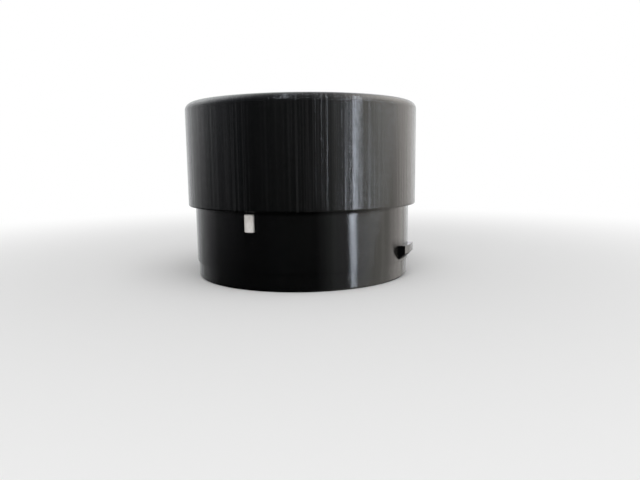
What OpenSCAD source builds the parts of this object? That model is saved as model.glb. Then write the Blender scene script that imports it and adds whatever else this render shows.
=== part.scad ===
// Single dose hopper: a cup with a funnel and a keyed collar, under a deep lift-off lid.
// The origin is on the axis at the collar's foot, +Z is up and the pointer faces -Y.

/* [Neck and cup] */
// Outside diameter of the neck, which the collar and the cup carry on
neck_od = 80; // [74:0.5:110]
// Height of the neck and collar, from the foot to the lid's mouth
collar_h = 26; // [22:0.5:40]
// Wall of the cup, the funnel and the collar
wall = 2.4; // [1.8:0.2:3.6]
// Bevel on the cup's rim and on the collar's foot
edge_bevel = 0.6; // [0.2:0.1:0.8]

/* [Spigot] */
// Height of the spigot that centres the foot of the collar
spigot_h = 6; // [3:0.5:6.5]
// How far the spigot's wall stands in from the neck
spigot_step = 0.5; // [0.2:0.1:0.8]

/* [Funnel] */
// Bore of the outlet at the bottom of the funnel
outlet_d = 50; // [36:1:58]
// Height of the outlet's straight bore
outlet_h = 8; // [4:0.5:14]
// Slope of the funnel, in degrees from level
funnel_slope = 45; // [40:1:60]

/* [Lugs] */
// Height of the lugs above the foot
lug_z = 7; // [7:0.5:12]
// Height of a lug's outer face
lug_face_h = 2.8; // [1.5:0.1:5]
// How far the lugs stand out from the neck
lug_reach = 2.2; // [1.2:0.1:2.4]
// Width of the wide lug
wide_lug_w = 18; // [12:0.5:26]
// Width of the narrow lug
narrow_lug_w = 11; // [6:0.5:16]

/* [Lid] */
// Height of the lid
lid_h = 36.5; // [20:0.5:60]
// Side wall of the lid
lid_wall = 2.2; // [1.6:0.1:3.6]
// Thickness of the lid's top
lid_top = 2.4; // [1.6:0.1:4]
// Radius on the lid's top edge
lid_round = 2.5; // [0.5:0.1:4]
// Bevel that leads the lid's mouth onto the cup
lead_in = 0.6; // [0.2:0.1:1]
// Gap all round between the cup and the lid
slide_gap = 0.3; // [0.1:0.05:0.6]
// Gap between the cup's rim and the lid's top when it is closed
seat_gap = 0.2; // [0.1:0.05:0.6]

/* [Pointer] */
// Width of the pointer
pointer_w = 3.3; // [2:0.1:8]
// Height of the pointer
pointer_h = 5.9; // [4:0.1:8]
// How far the pointer stands out from the neck
pointer_out = 0.8; // [0.6:0.1:2]
// Gap between the pointer's top and the level of the lid's mouth
pointer_drop = 0.9; // [0.4:0.1:3]
// Bevel on the pointer's outer edges
pointer_bevel = 0.35; // [0.1:0.05:0.5]
// Depth of the pocket that holds the pointer
pocket_depth = 1; // [0.5:0.1:1.2]
// Gap round the pointer in its pocket
pocket_gap = 0.1; // [0.05:0.05:0.3]

/* [Hidden] */
$fn = 160;

// How far a cutting shape runs past the face that it opens
clear = 1;

neck_r = neck_od / 2;
cup_r = neck_r - wall;
spigot_r = neck_r - spigot_step;
outlet_r = outlet_d / 2;
tube_r = outlet_r + wall;
lug_r = neck_r + lug_reach;
lid_bore_r = neck_r + slide_gap;
lid_r = lid_bore_r + lid_wall;

rim_z = collar_h + lid_h - lid_top - seat_gap;
funnel_z = outlet_h + (cup_r - outlet_r) * tan(funnel_slope);
pointer_z = collar_h - pointer_drop - pointer_h;
pocket_floor = neck_r - pocket_depth;

// Height of the funnel's underside at radius r, one wall square to its upper face
function under_funnel(r) = outlet_h + (r - outlet_r) * tan(funnel_slope) - wall / cos(funnel_slope);

// Half section: cup, funnel and outlet inside, then rim, neck and spigot, then the groove under the funnel
module hopper_section() {
    polygon([
        [outlet_r, 0],
        [outlet_r, outlet_h],
        [cup_r, funnel_z],
        [cup_r, rim_z],
        [neck_r - edge_bevel, rim_z],
        [neck_r, rim_z - edge_bevel],
        [neck_r, spigot_h],
        [spigot_r, spigot_h],
        [spigot_r, edge_bevel],
        [spigot_r - edge_bevel, 0],
        [cup_r, 0],
        [cup_r, under_funnel(cup_r)],
        [tube_r, under_funnel(tube_r)],
        [tube_r, 0]
    ]);
}

// Half section of a lug, rooted in the middle of the wall, with a 45 degree underside
module lug_section() {
    root_r = neck_r - wall / 2;
    polygon([
        [root_r, lug_z],
        [neck_r, lug_z],
        [lug_r, lug_z + lug_reach],
        [lug_r, lug_z + lug_reach + lug_face_h],
        [root_r, lug_z + lug_reach + lug_face_h]
    ]);
}

// A lug of the given width, pointing along +X
module lug(width) {
    intersection() {
        rotate_extrude() lug_section();
        translate([0, -width / 2, lug_z])
            cube([lug_r + clear, width, lug_reach + lug_face_h]);
    }
}

module pointer_pocket() {
    translate([-pointer_w / 2 - pocket_gap, -neck_r - clear, pointer_z - pocket_gap])
        cube([pointer_w + 2 * pocket_gap, clear + pocket_depth, pointer_h + 2 * pocket_gap]);
}

module hopper_body() {
    color("#17181a")
    difference() {
        union() {
            rotate_extrude() hopper_section();
            lug(narrow_lug_w);
            rotate([0, 0, 180]) lug(wide_lug_w);
        }
        pointer_pocket();
    }
}

// Half section of the lid, with its mouth at the bottom
module lid_section() {
    difference() {
        union() {
            square([lid_r - lid_round, lid_h]);
            square([lid_r, lid_h - lid_round]);
            translate([lid_r - lid_round, lid_h - lid_round]) circle(r = lid_round);
        }
        square([lid_bore_r, lid_h - lid_top]);
        polygon([
            [0, -clear],
            [lid_bore_r + lead_in + clear, -clear],
            [lid_bore_r, lead_in],
            [0, lead_in]
        ]);
    }
}

module lid() {
    color("#1b1c1e")
    translate([0, 0, collar_h])
        rotate_extrude() lid_section();
}

// One side of the pointer's outline: flat at the back, bevelled at the front
module pointer_outline(length) {
    depth = pocket_depth + pointer_out;
    polygon([
        [0, 0],
        [depth - pointer_bevel, 0],
        [depth, pointer_bevel],
        [depth, length - pointer_bevel],
        [depth - pointer_bevel, length],
        [0, length]
    ]);
}

// The plan outline and the side outline cross to bevel all four front edges
module pointer() {
    color("#d9d7d1")
    translate([pointer_w / 2, -pocket_floor, pointer_z])
        rotate([0, 0, -90])
            intersection() {
                translate([0, -pointer_w, 0])
                    linear_extrude(pointer_h) pointer_outline(pointer_w);
                rotate([90, 0, 0])
                    linear_extrude(pointer_w) pointer_outline(pointer_h);
            }
}

hopper_body();
lid();
pointer();
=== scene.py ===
import math

import bmesh
import bpy
import mathutils
from mathutils import Matrix, Vector


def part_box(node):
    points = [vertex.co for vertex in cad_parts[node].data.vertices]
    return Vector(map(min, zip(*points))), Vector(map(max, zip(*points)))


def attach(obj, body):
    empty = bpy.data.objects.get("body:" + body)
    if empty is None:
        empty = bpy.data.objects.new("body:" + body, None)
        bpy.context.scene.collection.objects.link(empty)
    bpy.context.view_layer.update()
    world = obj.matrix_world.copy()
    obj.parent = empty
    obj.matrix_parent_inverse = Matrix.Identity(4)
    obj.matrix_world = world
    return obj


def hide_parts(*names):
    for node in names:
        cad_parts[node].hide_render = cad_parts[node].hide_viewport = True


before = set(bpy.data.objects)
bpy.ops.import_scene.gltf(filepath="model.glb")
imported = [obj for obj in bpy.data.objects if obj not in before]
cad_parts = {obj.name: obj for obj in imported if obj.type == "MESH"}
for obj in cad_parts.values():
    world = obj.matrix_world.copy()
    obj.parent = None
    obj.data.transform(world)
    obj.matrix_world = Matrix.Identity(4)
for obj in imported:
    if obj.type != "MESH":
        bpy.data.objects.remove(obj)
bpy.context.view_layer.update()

mm = 0.001
lidLow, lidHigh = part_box("lid")
bodyLow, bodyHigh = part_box("hopper_body")
pointerLow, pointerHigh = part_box("pointer")
print("frame loaded:", sorted(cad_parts))


# Sockets that can be added, multiplied and so on, so that shader maths reads as sums
class Wire:
    def __init__(self, tree, socket):
        self.tree, self.socket = tree, socket

    def math(self, operation, *others, clamp=False):
        step = self.tree.nodes.new("ShaderNodeMath")
        step.operation, step.use_clamp = operation, clamp
        for slot, value in zip(step.inputs, (self, *others)):
            plug(self.tree, slot, value)
        return Wire(self.tree, step.outputs[0])

    def flipped(self, operation, other):
        step = self.tree.nodes.new("ShaderNodeMath")
        step.operation = operation
        plug(self.tree, step.inputs[0], other)
        plug(self.tree, step.inputs[1], self)
        return Wire(self.tree, step.outputs[0])

    def __add__(self, other): return self.math("ADD", other)
    def __radd__(self, other): return self.math("ADD", other)
    def __sub__(self, other): return self.math("SUBTRACT", other)
    def __rsub__(self, other): return self.flipped("SUBTRACT", other)
    def __mul__(self, other): return self.math("MULTIPLY", other)
    def __rmul__(self, other): return self.math("MULTIPLY", other)
    def __truediv__(self, other): return self.math("DIVIDE", other)
    def __rtruediv__(self, other): return self.flipped("DIVIDE", other)
    def __pow__(self, other): return self.math("POWER", other)
    def __gt__(self, other): return self.math("GREATER_THAN", other)
    def __lt__(self, other): return self.math("LESS_THAN", other)


def plug(tree, slot, value):
    if isinstance(value, Wire):
        tree.links.new(value.socket, slot)
    else:
        slot.default_value = value


# Any other node: its type, its settings, the values of its inputs and the output that is wanted
def addNode(tree, kind, settings=None, inputs=None, output=0):
    node = tree.nodes.new(kind)
    for key, value in (settings or {}).items():
        if key == "stops":
            fillRamp(node.color_ramp, value)
        else:
            setattr(node, key, value)
    for key, value in (inputs or {}).items():
        plug(tree, node.inputs[key], value)
    return Wire(tree, node.outputs[output])


def fillRamp(ramp, stops):
    while len(ramp.elements) < len(stops):
        ramp.elements.new(0.5)
    for element, (place, colour) in zip(ramp.elements, stops):
        element.position, element.color = place, colour


# Camera at the photograph's place: sizes in millimetres from the hopper's axis and its lid's mouth
cameraSettings = {
    "azimuth": 25.2,       # round the hopper from the pointer, degrees
    "distance": 212.7,     # from the axis
    "aboveMouth": 15.47,   # the lens over the lid's mouth
    "pitch": 8.05,         # down, degrees
    "yaw": 1.76,
    "roll": -0.63,
    "focalPixels": 554.1,  # focal length in pixels of the 640 pixel frame
    "frameWidth": 640,
    "sensor": 36,
}


def makeCamera(s):
    yaw, pitch, roll = (math.radians(s[k]) for k in ("yaw", "pitch", "roll"))
    forward = Vector((math.sin(yaw) * math.cos(pitch), math.cos(yaw) * math.cos(pitch), -math.sin(pitch)))
    level = Vector((math.cos(yaw), -math.sin(yaw), 0))
    upright = level.cross(forward)
    right = math.cos(roll) * level + math.sin(roll) * upright
    up = -math.sin(roll) * level + math.cos(roll) * upright
    turn = Matrix((right, up, -forward)).transposed().to_4x4()
    place = Matrix.Translation((0, -s["distance"] * mm, lidLow.z + s["aboveMouth"] * mm))
    data = bpy.data.cameras.new("camera")
    data.sensor_width = s["sensor"]
    data.lens = s["focalPixels"] / s["frameWidth"] * s["sensor"]
    data.clip_start, data.clip_end = 0.01, 20
    camera = bpy.data.objects.new("camera", data)
    bpy.context.scene.collection.objects.link(camera)
    camera.matrix_world = Matrix.Rotation(math.radians(s["azimuth"]), 4, "Z") @ place @ turn
    bpy.context.scene.camera = camera


makeCamera(cameraSettings)
print("camera placed")


# Printed plastic. Heights are in millimetres, and the lines are laid round the axis.
printing = {
    "layer": 0.2,          # height of one printed layer
    "bead": 0.42,          # width of one printed line
    "rings": 3,            # lines that follow the edge of a flat face
    "ringBlend": 0.05,
}


def principled(name):
    material = bpy.data.materials.new(name)
    material.use_nodes = True
    tree = material.node_tree
    tree.nodes.clear()
    out = tree.nodes.new("ShaderNodeOutputMaterial")
    shader = tree.nodes.new("ShaderNodeBsdfPrincipled")
    tree.links.new(shader.outputs[0], out.inputs["Surface"])
    return material, tree, shader


def split(tree, place):
    node = addNode(tree, "ShaderNodeSeparateXYZ", inputs={"Vector": place}).socket.node
    return [Wire(tree, out) for out in node.outputs]


def vector(tree, x, y, z):
    return addNode(tree, "ShaderNodeCombineXYZ", inputs={"X": x, "Y": y, "Z": z})


def noise(tree, place, scale, detail=2.0, roughness=0.5):
    return addNode(tree, "ShaderNodeTexNoise", {"noise_dimensions": "3D"},
                   {"Vector": place, "Scale": scale, "Detail": detail, "Roughness": roughness})


def mixColours(tree, factor, first, second, blend="MIX"):
    return addNode(tree, "ShaderNodeMix", {"data_type": "RGBA", "blend_type": blend},
                   {"Factor": factor, "A": first, "B": second}, output="Result")


# The bulge of each printed layer: 0 in the groove between two layers and 1 on the crest
def layerBulge(z):
    part = (z / printing["layer"]).math("FRACT")
    return part * (1 - part) * 4


# Goes from 0 to 1 as the value goes from low to high
def ramp(value, low, high):
    return ((value - low) / (high - low)).math("ADD", 0.0, clamp=True)


# Object coordinates in millimetres, the distance from the axis, and the same place taken out to a drum
def roundPlaces(tree, radius):
    spot = addNode(tree, "ShaderNodeTexCoord", output="Object")
    x, y, z = (part * (1 / mm) for part in split(tree, spot))
    away = (x * x + y * y).math("SQRT").math("MAXIMUM", 0.001)
    return x, y, z, away, (x / away * radius, y / away * radius)


# Ridges of a printed flat face: lines at 45 degrees, inside a few rings along its edge
def flatRidges(x, y, away, edge):
    turn = 2 * math.pi / printing["bead"]
    straight = ((x + y) * (turn / math.sqrt(2))).math("COSINE")
    curved = (away * turn).math("COSINE")
    inner = edge - printing["rings"] * printing["bead"]
    outer = ramp(away, inner - printing["ringBlend"], inner + printing["ringBlend"])
    return straight + (curved - straight) * outer


scoring = {
    "scale": 1.1,          # lines to a millimetre, roughly
    "width": 0.045,        # part of the noise's range that makes a line
    "drift": 0.002,        # how much the lines change with height
    "groupScale": 0.16,
    "groupDrift": 0.03,
    "groupFrom": 0.47,
    "groupFull": 0.6,
    "between": 0.3,        # strength of the lines outside the groups
}


# Narrow upright score lines, 1 along the middle of each: they lie where a fine noise crosses its middle
def scoreLines(tree, x, y, z, s):
    fine = noise(tree, vector(tree, x, y, z * s["drift"]), s["scale"], 1, 0.5)
    lines = ramp((fine - 0.5).math("ABSOLUTE"), s["width"], 0.0)
    patches = noise(tree, vector(tree, x, y, z * s["groupDrift"]), s["groupScale"], 2, 0.5)
    return lines * (s["between"] + ramp(patches, s["groupFrom"], s["groupFull"]))


lidFinish = {
    "colour": (0.002, 0.0021, 0.0022, 1),
    "worn": (0.0032, 0.0032, 0.0033, 1),
    # painted sheen: a lighter colour on the score lines that stands in for the light they catch
    "scoreSheen": (0.011, 0.0112, 0.0116, 1),
    "radius": 42.5,
    "roughness": 0.08,
    "topRoughness": 0.3,
    "layerHeight": 0.025,  # from a layer's groove to its crest
    "lineHeight": 0.003,   # fine upright lines beside the ones in the mesh
    "scoreDepth": 0.017,   # narrow score lines, which come in groups
    "speckHeight": 0.008,  # unevenness from layer to layer
    "ridgeHeight": 0.02,   # ridges on the flat top
    "lineScale": 2.4,
    "lineDrift": 0.002,
    "speckScale": 1.7,
    "flatFaces": (36.5, 34.1),  # heights of the top and of the ceiling inside, over the mouth
    "flatEdge": 40.0,
    "flatWithin": 0.06,    # how near a flat face's height counts as on it
    "flatAlone": 0.02,
    "smudgeScale": 0.06,
    "smudge": 0.1,         # how much the roughness comes and goes
    "wearScale": 0.35,
    "wearFrom": 0.52,
    "wearFull": 0.7,
}


def lidPlastic(s, mouth):
    material, tree, shader = principled("printed black plastic")
    x, y, z, away, (ringX, ringY) = roundPlaces(tree, s["radius"])
    z = z - mouth / mm
    lines = noise(tree, vector(tree, ringX, ringY, z * s["lineDrift"]), s["lineScale"], 2, 0.6) - 0.5
    specks = noise(tree, vector(tree, ringX, ringY, z), s["speckScale"], 1, 0.6) - 0.5
    scores = scoreLines(tree, ringX, ringY, z, scoring)
    side = lines * (4 * s["lineHeight"]) + specks * (4 * s["speckHeight"]) - scores * s["scoreDepth"]
    side = side + layerBulge(z) * s["layerHeight"]
    flat = [ramp((z - height).math("ABSOLUTE"), s["flatWithin"], s["flatAlone"]) for height in s["flatFaces"]]
    onFlat = flat[0].math("MAXIMUM", flat[1])
    ridges = flatRidges(x, y, away, s["flatEdge"]) * (0.5 * s["ridgeHeight"])
    height = side + (ridges - side) * onFlat
    bump = addNode(tree, "ShaderNodeBump", inputs={"Strength": 1.0, "Distance": mm, "Height": height})
    plug(tree, shader.inputs["Normal"], bump)
    smudge = noise(tree, vector(tree, x, y, z), s["smudgeScale"], 4, 0.55) - 0.5
    roughness = s["roughness"] + (s["topRoughness"] - s["roughness"]) * onFlat
    plug(tree, shader.inputs["Roughness"], roughness + smudge * s["smudge"])
    wear = ramp(noise(tree, vector(tree, x, y, z), s["wearScale"], 4, 0.6), s["wearFrom"], s["wearFull"])
    colour = mixColours(tree, wear, s["colour"], s["worn"])
    # Painted sheen: the score lines on the side get a lighter base colour in place of the light they would
    # mirror
    onSide = (1 - onFlat) * scores
    plug(tree, shader.inputs["Base Color"], mixColours(tree, onSide, colour, s["scoreSheen"]))
    return material


bodyFinish = {
    "colour": (0.0019, 0.002, 0.0021, 1),
    "worn": (0.003, 0.003, 0.003, 1),
    "radius": 40.0,
    "roughness": 0.07,
    "insideRoughness": 0.28,
    "layerHeight": 0.025,
    "lineHeight": 0.001,
    "speckHeight": 0.005,
    "lineScale": 0.9,
    "lineDrift": 0.005,
    "speckScale": 1.7,
    "insideFrom": 38.0,    # nearer the axis than this is inside the cup
    "insideBlend": 0.4,
    "smudgeScale": 0.08,
    "smudge": 0.08,
    "wearScale": 0.3,
    "wearFrom": 0.52,
    "wearFull": 0.7,
}


def bodyPlastic(s):
    material, tree, shader = principled("smooth black plastic")
    x, y, z, away, (ringX, ringY) = roundPlaces(tree, s["radius"])
    lines = noise(tree, vector(tree, ringX, ringY, z * s["lineDrift"]), s["lineScale"], 3, 0.55) - 0.5
    inside = ramp(away, s["insideFrom"] + s["insideBlend"], s["insideFrom"])
    specks = noise(tree, vector(tree, x, y, z), s["speckScale"], 1, 0.6) - 0.5
    side = layerBulge(z) * s["layerHeight"] + lines * (4 * s["lineHeight"]) + specks * (4 * s["speckHeight"])
    bump = addNode(tree, "ShaderNodeBump", inputs={"Strength": 1.0, "Distance": mm, "Height": side})
    plug(tree, shader.inputs["Normal"], bump)
    smudge = noise(tree, vector(tree, x, y, z), s["smudgeScale"], 4, 0.55) - 0.5
    roughness = s["roughness"] + (s["insideRoughness"] - s["roughness"]) * inside
    plug(tree, shader.inputs["Roughness"], roughness + smudge * s["smudge"])
    wear = ramp(noise(tree, vector(tree, x, y, z), s["wearScale"], 4, 0.6), s["wearFrom"], s["wearFull"])
    plug(tree, shader.inputs["Base Color"], mixColours(tree, wear, s["colour"], s["worn"]))
    return material


pointerFinish = {
    "colour": (0.59, 0.565, 0.535, 1),
    "clean": (0.74, 0.725, 0.7, 1),
    "roughness": 0.42,
    "roughnessSpread": 0.1,
    "grainHeight": 0.02,
    "grainScale": 2.5,
    "patchScale": 0.5,
    "patchFrom": 0.35,
    "patchFull": 0.65,
}


def pointerPlastic(s):
    material, tree, shader = principled("off-white plastic")
    spot = addNode(tree, "ShaderNodeTexCoord", output="Object")
    place = vector(tree, *(part * (1 / mm) for part in split(tree, spot)))
    patch = ramp(noise(tree, place, s["patchScale"], 3, 0.5), s["patchFrom"], s["patchFull"])
    plug(tree, shader.inputs["Base Color"], mixColours(tree, patch, s["colour"], s["clean"]))
    grain = noise(tree, place, s["grainScale"], 3, 0.6) * s["grainHeight"]
    bump = addNode(tree, "ShaderNodeBump", inputs={"Strength": 1.0, "Distance": mm, "Height": grain})
    plug(tree, shader.inputs["Normal"], bump)
    plug(tree, shader.inputs["Roughness"], s["roughness"] + (patch - 0.5) * s["roughnessSpread"])
    return material


def dress(node, material):
    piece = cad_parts[node]
    piece.data.materials.clear()
    piece.data.materials.append(material)


dress("hopper_body", bodyPlastic(bodyFinish))
print("body dressed")


# The pointer: a tab with softened corners, a little uneven on its face
pointerShape = {
    "rounding": 0.45,      # mm
    "steps": 5,
    "gap": 0.02,           # inside the outline of its solid, mm
    "unevenness": 0.06,    # mm
    "unevenScale": 1.6,    # mm from one hollow to the next, roughly
    "cuts": 9,
    "cornerCut": 0.5,      # how far its upper corner on the narrow lug's side is worn back, mm
}


def makePointer(s, material):
    middle = (pointerLow + pointerHigh) / 2
    size = pointerHigh - pointerLow - Vector((1, 1, 1)) * (2 * s["gap"] * mm)
    form = bmesh.new()
    bmesh.ops.create_cube(form, size=1.0, matrix=Matrix.Diagonal((*size, 1)))
    bmesh.ops.bevel(form, geom=form.edges[:], offset=s["rounding"] * mm, segments=s["steps"],
                    profile=0.5, affect="EDGES", clamp_overlap=True)
    for vert in form.verts:
        vert.co += middle
    long = [edge for edge in form.edges if edge.calc_length() > 2 * s["rounding"] * mm]
    bmesh.ops.subdivide_edges(form, edges=long, cuts=s["cuts"], use_grid_fill=True)
    for vert in form.verts:
        proud = (pointerHigh.y - vert.co.y) / (pointerHigh.y - pointerLow.y)
        push = mathutils.noise.noise(vert.co / (s["unevenScale"] * mm)) * 0.5 + 0.5
        vert.co.y += proud * push * s["unevenness"] * mm
        right = (vert.co.x - middle.x) / (size.x / 2)
        top = (vert.co.z - middle.z) / (size.z / 2)
        worn = max(0, right) ** 3 * max(0, top) ** 5 * proud
        vert.co.y += worn * s["cornerCut"] * mm
        vert.co.x -= worn * 0.5 * s["cornerCut"] * mm
    bmesh.ops.recalc_face_normals(form, faces=form.faces[:])
    mesh = bpy.data.meshes.new("pointer_tab")
    form.to_mesh(mesh)
    form.free()
    mesh.shade_smooth()
    mesh.materials.append(material)
    tab = bpy.data.objects.new("pointer_tab", mesh)
    bpy.context.scene.collection.objects.link(tab)
    return tab


pointerTab = makePointer(pointerShape, pointerPlastic(pointerFinish))
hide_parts("pointer")
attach(pointerTab, "hopper")
print("pointer made:", len(pointerTab.data.polygons), "faces")


# The lid: its half section swept round the axis, with the upright print lines pressed into its side
lidShape = {
    "columns": 2160,       # divisions round the lid
    "bore": 40.3,          # radius inside, mm
    "top": 2.4,            # thickness of the top
    "round": 2.5,
    "leadIn": 0.6,
    "edge": 0.4,           # softening of the mouth's outer edge
    "roundSteps": 8,
    "sideSteps": 7,
    "sweepRadius": 20.0,   # circle that the section is swept along, mm
    "lineDepth": 0.09,     # deepest print line, mm
    "guard": 0.15,         # height of the narrow rows that keep the side flat beside its rounded edges, mm
    "lineScale": 0.9,      # lines to a millimetre, roughly
    "fade": 0.35,          # how far in from the side the lines fade out, mm
    "seed": 7.0,
    "drift": 0.04,         # how much the lines change with height
    "fineShare": 0.6,
    "wideShare": 0.4,
    "wideScale": 0.4,      # scale of the wide dips, as a part of the fine ones'
}


def lidSection(s):
    r, h, corner, edge = lidHigh.x / mm, (lidHigh.z - lidLow.z) / mm, s["round"], s["edge"]
    ceiling = h - s["top"]
    low, high = edge + s["guard"], h - corner - s["guard"]
    side = [(r, edge), *((r, low + (high - low) * i / s["sideSteps"]) for i in range(s["sideSteps"] + 1))]
    arc = [(r - corner + corner * math.cos(a), h - corner + corner * math.sin(a))
           for a in (math.pi / 2 * i / s["roundSteps"] for i in range(s["roundSteps"] + 1))]
    foot = [(s["bore"] + s["leadIn"], 0), (r - edge, 0),
            (r - 0.6 * edge, 0.12 * edge), (r - 0.25 * edge, 0.4 * edge)]
    inside = [(0, ceiling), (s["bore"] / 2, ceiling), (s["bore"], ceiling), (s["bore"], s["leadIn"])]
    ring = [*foot, *side, *arc, (r / 2, h), (0, h), *inside, foot[0]]
    return [(x * mm, z * mm) for x, z in ring]


def sweepTree(s, material):
    tree = bpy.data.node_groups.new("lid sweep", "GeometryNodeTree")
    face = tree.interface
    face.new_socket("Section", in_out="INPUT", socket_type="NodeSocketGeometry")
    face.new_socket("Columns", in_out="INPUT", socket_type="NodeSocketInt")
    for name in ("Sweep radius", "Side radius", "Line depth", "Line scale", "Fade", "Seed"):
        face.new_socket(name, in_out="INPUT", socket_type="NodeSocketFloat")
    face.new_socket("Lid", in_out="OUTPUT", socket_type="NodeSocketGeometry")
    given = tree.nodes.new("NodeGroupInput")
    value = {socket.name: Wire(tree, socket) for socket in given.outputs if socket.name}

    circle = addNode(tree, "GeometryNodeCurvePrimitiveCircle", {"mode": "RADIUS"},
                     {"Resolution": value["Columns"], "Radius": value["Sweep radius"]})
    swept = addNode(tree, "GeometryNodeCurveToMesh",
                    inputs={"Curve": circle, "Profile Curve": value["Section"]})
    closed = addNode(tree, "GeometryNodeMergeByDistance", inputs={"Geometry": swept, "Distance": 1e-6})
    x, y, z = split(tree, addNode(tree, "GeometryNodeInputPosition"))
    away = (x * x + y * y).math("SQRT").math("MAXIMUM", 1e-6)
    ringX, ringY = x / away, y / away
    place = vector(tree, ringX, ringY, value["Seed"] + z * s["drift"])
    perTurn = value["Side radius"] * value["Line scale"] * (1 / mm)
    fine = (noise(tree, place, perTurn, 1.0, 0.6) - 0.5).math("ABSOLUTE") * 2
    wide = noise(tree, place, perTurn * s["wideScale"], 2.0)
    dips = (fine * s["fineShare"] + wide * s["wideShare"]).math("ADD", 0.0, clamp=True)
    onSide = ramp(away, value["Side radius"] - value["Fade"], value["Side radius"])
    push = dips * onSide * value["Line depth"] * -1
    shift = vector(tree, ringX * push, ringY * push, 0.0)
    moved = addNode(tree, "GeometryNodeSetPosition", inputs={"Geometry": closed, "Offset": shift})
    smooth = addNode(tree, "GeometryNodeSetShadeSmooth", inputs={"Geometry": moved, "Shade Smooth": True})
    whole = addNode(tree, "GeometryNodeRealizeInstances", inputs={"Geometry": smooth})
    done = addNode(tree, "GeometryNodeSetMaterial", inputs={"Geometry": whole, "Material": material})
    out = tree.nodes.new("NodeGroupOutput")
    tree.links.new(done.socket, out.inputs[0])
    return tree


def makeLid(s, material):
    data = bpy.data.curves.new("lid section", "CURVE")
    data.dimensions = "3D"
    points = lidSection(s)
    line = data.splines.new("POLY")
    line.points.add(len(points) - 1)
    for point, (x, z) in zip(line.points, points):
        point.co = (x - s["sweepRadius"] * mm, -z, 0, 1)   # the sweep turns the section's height over
    host = bpy.data.objects.new("lid section", data)
    bpy.context.scene.collection.objects.link(host)
    tree = sweepTree(s, material)
    sweep = host.modifiers.new("sweep", "NODES")
    sweep.node_group = tree
    given = {"Columns": s["columns"], "Sweep radius": s["sweepRadius"] * mm, "Side radius": lidHigh.x,
             "Line depth": s["lineDepth"] * mm, "Line scale": s["lineScale"], "Fade": s["fade"] * mm,
             "Seed": s["seed"]}
    for socket in tree.interface.items_tree:
        if socket.name in given:
            sweep[socket.identifier] = given[socket.name]
    evaluated = host.evaluated_get(bpy.context.evaluated_depsgraph_get())
    mesh = bpy.data.meshes.new_from_object(evaluated)
    bpy.data.objects.remove(host)
    mesh.name = "lid_shell"
    mesh.transform(Matrix.Translation((0, 0, lidLow.z)))
    mesh.set_sharp_from_angle(angle=math.radians(35))
    lid = bpy.data.objects.new("lid_shell", mesh)
    bpy.context.scene.collection.objects.link(lid)
    return lid


lidShell = makeLid(lidShape, lidPlastic(lidFinish, lidLow.z))
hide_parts("lid")
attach(lidShell, "lid")
print("lid made:", len(lidShell.data.polygons), "faces")


# The surroundings that the plastic mirrors: a dark room that is lit from above and from the sides.
# Each stop is a direction in degrees from the camera's side, positive to the right, with its
# brightness and its warmth.
studio = {
    "white": 1.0,          # what the camera sees behind the hopper
    "plain": 0.5,          # even light for what doesn't mirror
    "above": [(-160, 1.5, 0), (-125, 4.0, 0), (-100, 1.0, -1), (-60, 0.3, -1), (20, 0.4, 0),
              (50, 1.5, 0), (80, 4.0, 1), (130, 4.0, 1), (150, 1.0, 0)],
    "level": [(-160, 1.0, 0), (-130, 1.0, 0), (-95, 0.0, 0), (20, 0.0, 0), (45, 0.9, 0),
              (70, 1.5, 1), (130, 1.5, 1), (160, 1.0, 0)],
    "below": [(-110, 0.0, 0), (75, 0.0, 0), (90, 1.0, 1), (130, 1.0, 1), (150, 0.0, 0)],
    "brightest": 4.5,
    "warmStep": (0.06, 0.0, -0.07),
    "belowFrom": -0.08,    # upward part of the direction where the lower band begins, and where it is alone
    "belowFull": -0.3,
    "aboveFrom": 0.22,
    "aboveFull": 0.58,
    "zenith": 0.5,
    "zenithFrom": 0.78,
    "zenithFull": 0.93,
    "folds": 0.5,          # how much of the brightness comes and goes in upright folds
    "foldScale": 9.0,
    "foldFrom": 0.42,
    "foldFull": 0.58,
    "shades": ((0.97, 1.02, 0.99, 1), (1.0, 0.98, 1.04, 1)),
    "shadeScale": 2.2,
    "shadeFrom": 0.4,
    "shadeFull": 0.6,
}


def aroundBand(tree, s, name, turn):
    stops = []
    for angle, level, warmth in s[name]:
        colour = [level / s["brightest"] * (1 + warmth * step) for step in s["warmStep"]]
        stops.append(((angle + 180) / 360, (*colour, 1)))
    return addNode(tree, "ShaderNodeValToRGB", {"stops": stops}, {"Fac": turn}, output="Color")


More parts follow.
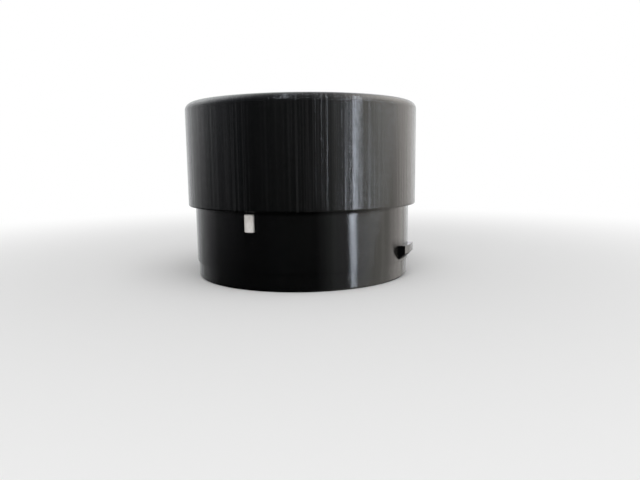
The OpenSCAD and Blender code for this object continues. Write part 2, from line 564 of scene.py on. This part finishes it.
def makeWorld(s, cameraAzimuth):
    world = bpy.data.worlds.new("studio")
    world.use_nodes = True
    bpy.context.scene.world = world
    tree = world.node_tree
    tree.nodes.clear()
    out = tree.nodes.new("ShaderNodeOutputWorld")
    x, y, z = split(tree, addNode(tree, "ShaderNodeTexCoord", output="Generated"))
    a = math.radians(cameraAzimuth)
    right = x * math.cos(a) + y * math.sin(a)
    front = x * math.sin(a) - y * math.cos(a)
    turn = right.math("ARCTAN2", front) / (2 * math.pi) + 0.5
    above, level, below = (aroundBand(tree, s, name, turn) for name in ("above", "level", "below"))
    colour = mixColours(tree, ramp(z, s["belowFrom"], s["belowFull"]), level, below)
    colour = mixColours(tree, ramp(z, s["aboveFrom"], s["aboveFull"]), colour, above)
    zenith = [s["zenith"] / s["brightest"]] * 3 + [1]
    colour = mixColours(tree, ramp(z, s["zenithFrom"], s["zenithFull"]), colour, zenith)
    across = (right * right + front * front).math("SQRT").math("MAXIMUM", 0.001)
    around = vector(tree, right / across, front / across, 0.0)
    folds = ramp(noise(tree, around, s["foldScale"], 3, 0.6), s["foldFrom"], s["foldFull"]) - 0.5
    tint = ramp(noise(tree, around, s["shadeScale"], 2, 0.5), s["shadeFrom"], s["shadeFull"])
    colour = mixColours(tree, 1.0, colour, mixColours(tree, tint, *s["shades"]), "MULTIPLY")
    strength = (1 + folds * s["folds"]) * s["brightest"]
    mirrored = addNode(tree, "ShaderNodeBackground", inputs={"Color": colour, "Strength": strength})
    plain = addNode(tree, "ShaderNodeBackground", inputs={"Color": (1, 1, 1, 1), "Strength": s["plain"]})
    white = addNode(tree, "ShaderNodeBackground", inputs={"Color": (1, 1, 1, 1), "Strength": s["white"]})
    glossy = addNode(tree, "ShaderNodeLightPath", output="Is Glossy Ray")
    seen = addNode(tree, "ShaderNodeLightPath", output="Is Camera Ray")
    light = addNode(tree, "ShaderNodeMixShader", inputs={0: glossy, 1: plain, 2: mirrored})
    mix = addNode(tree, "ShaderNodeMixShader", inputs={0: seen, 1: light, 2: white})
    tree.links.new(mix.socket, out.inputs["Surface"])


makeWorld(studio, cameraSettings["azimuth"])


# Lamps: place is degrees round from the camera's side, degrees up and metres away. A lamp is either
# mirrored by the plastic or lights it softly, and its brightness is that of its own face.
lamps = {
    "window": {"place": (59.8, 22, 1.2), "size": (0.125, 0.4), "brightness": 60, "colour": (0.82, 0.89, 1.0),
               "mirrored": True},
    "skylight": {"place": (-15.5, 60, 1.2), "size": (0.06, 0.25), "brightness": 60,
                 "colour": (0.84, 0.92, 1.0), "mirrored": True},
    "overhead": {"place": (20, 70, 0.9), "size": (0.8, 0.8), "brightness": 1.9, "colour": (1, 1, 1),
                 "mirrored": False},
    "front": {"place": (-15, 20, 1.0), "size": (0.8, 0.6), "brightness": 1.4, "colour": (1, 0.99, 0.97),
              "mirrored": False},
}


def makeLamp(name, s, cameraAzimuth, aim):
    azimuth, height, away = s["place"]
    a, e = math.radians(azimuth + cameraAzimuth), math.radians(height)
    place = aim + Vector((math.sin(a) * math.cos(e), -math.cos(a) * math.cos(e), math.sin(e))) * away
    data = bpy.data.lights.new(name, "AREA")
    data.shape, (data.size, data.size_y) = "RECTANGLE", s["size"]
    data.energy = s["brightness"] * math.pi * s["size"][0] * s["size"][1]
    data.color = s["colour"]
    lamp = bpy.data.objects.new(name, data)
    lamp.location = place
    lamp.rotation_mode = "QUATERNION"
    lamp.rotation_quaternion = (place - aim).to_track_quat("Z", "Y")
    lamp.visible_camera = False
    lamp.visible_glossy = s["mirrored"]
    lamp.visible_diffuse = not s["mirrored"]
    bpy.context.scene.collection.objects.link(lamp)


aim = Vector((0, 0, (lidLow.z + lidHigh.z) / 2))
for name, settings in lamps.items():
    makeLamp(name, settings, cameraSettings["azimuth"], aim)


# Floor: pale near the hopper, where its shadow falls, and fading into the white behind
floorSettings = {
    "size": 12.0,
    "colour": (0.84, 0.84, 0.84, 1),
    "fadeFrom": 0.08,
    "fadeTo": 0.3,
}


def makeFloor(s):
    bpy.ops.mesh.primitive_plane_add(size=s["size"], location=(0, 0, 0))
    floor = bpy.context.object
    floor.name = "floor"
    material = bpy.data.materials.new("floor")
    material.use_nodes = True
    tree = material.node_tree
    tree.nodes.clear()
    out = tree.nodes.new("ShaderNodeOutputMaterial")
    x, y, z = split(tree, addNode(tree, "ShaderNodeTexCoord", output="Object"))
    away = (x * x + y * y).math("SQRT")
    fade = addNode(tree, "ShaderNodeMapRange", {"interpolation_type": "SMOOTHSTEP"},
                   {"Value": away, "From Min": s["fadeFrom"], "From Max": s["fadeTo"]})
    seen = addNode(tree, "ShaderNodeLightPath", output="Is Camera Ray")
    matt = addNode(tree, "ShaderNodeBsdfDiffuse", inputs={"Color": s["colour"]})
    white = addNode(tree, "ShaderNodeEmission", inputs={"Color": (1, 1, 1, 1), "Strength": 1.0})
    mix = addNode(tree, "ShaderNodeMixShader", inputs={0: fade * seen, 1: matt, 2: white})
    tree.links.new(mix.socket, out.inputs["Surface"])
    floor.data.materials.append(material)
    floor.visible_glossy = False


makeFloor(floorSettings)
bpy.context.scene.view_settings.view_transform = "Standard"
print("studio lit")
